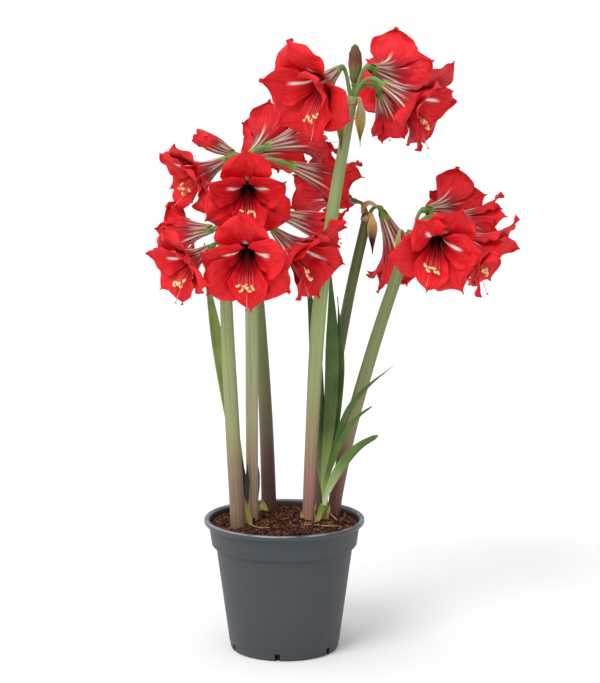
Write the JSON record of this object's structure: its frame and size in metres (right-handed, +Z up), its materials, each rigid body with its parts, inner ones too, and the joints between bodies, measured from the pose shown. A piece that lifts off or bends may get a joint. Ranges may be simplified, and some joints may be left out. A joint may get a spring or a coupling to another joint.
{
  "type": "potted amaryllis",
  "caption": "Flowering amaryllis bulbs with tall scapes, red trumpet blooms and strap leaves, growing in soil in a round plastic nursery pot.",
  "frame": {"origin": "centre of the pot's underside, on the surface that it stands on", "axes": "+Z up along the pot's axis, -Y to the front, +X to the plant's right as seen from the front"},
  "size_m": [0.4517, 0.3034, 0.7722],
  "materials": {
    "pot_plastic": "satin dark grey, a little glossy on the rim",
    "coir": "moist red-brown coir and bark potting mix",
    "bulb_skin": "dry brown papery skin over firm scales",
    "scape_flesh": "smooth waxy green, mauve-brown towards the soil",
    "bract_paper": "dry papery, tan with green and brown veins",
    "neck_sheath": "pale green fleshy leaf bases",
    "leaf_blade": "smooth dark green, satin",
    "tepal_red": "velvety scarlet with crimson veins and pale midribs",
    "bud_skin": "red-brown closed bud with green veins"
  },
  "bodies": {
    "root": {"pot": "pot_plastic", "soil": "coir", "bulb_left": "bulb_skin", "bulb_back": "bulb_skin", "bulb_right": "bulb_skin", "scape_A": "scape_flesh", "scape_B": "scape_flesh", "scape_C": "scape_flesh", "scape_D": "scape_flesh", "scape_E": "scape_flesh", "scape_F": "scape_flesh", "bract_A": "bract_paper", "bract_B": "bract_paper", "bract_C": "bract_paper", "bract_D_left": "bract_paper", "bract_D_right": "bract_paper", "bract_E": "bract_paper", "bract_F": "bract_paper", "neck_left": "neck_sheath", "neck_back": "neck_sheath", "neck_right": "neck_sheath", "leaf_left_tall": "leaf_blade", "leaf_left_short": "leaf_blade", "leaf_left_middle": "leaf_blade", "leaf_back": "leaf_blade", "leaf_right_low": "leaf_blade", "leaf_right_cut": "leaf_blade", "leaf_right_long": "leaf_blade", "leaf_right_front": "leaf_blade", "leaf_right_slant": "leaf_blade", "leaf_right_back": "leaf_blade", "leaf_right_short": "leaf_blade", "bloom_A1": "tepal_red", "bloom_A2": "tepal_red", "bloom_A3": "tepal_red", "bloom_B1": "tepal_red", "bloom_B2": "tepal_red", "bloom_B3": "tepal_red", "bloom_C1": "tepal_red", "bloom_C2": "tepal_red", "bloom_C3": "tepal_red", "bloom_C4": "tepal_red", "bloom_C5": "tepal_red", "bloom_D1": "tepal_red", "bloom_D2": "tepal_red", "bloom_D3": "tepal_red", "bloom_D4": "tepal_red", "bloom_E1": "tepal_red", "bloom_E2": "tepal_red", "bloom_F1": "tepal_red", "bloom_F2": "tepal_red", "bloom_F3": "tepal_red", "bloom_F4": "tepal_red", "bud": "bud_skin"}
  },
  "joints": []
}
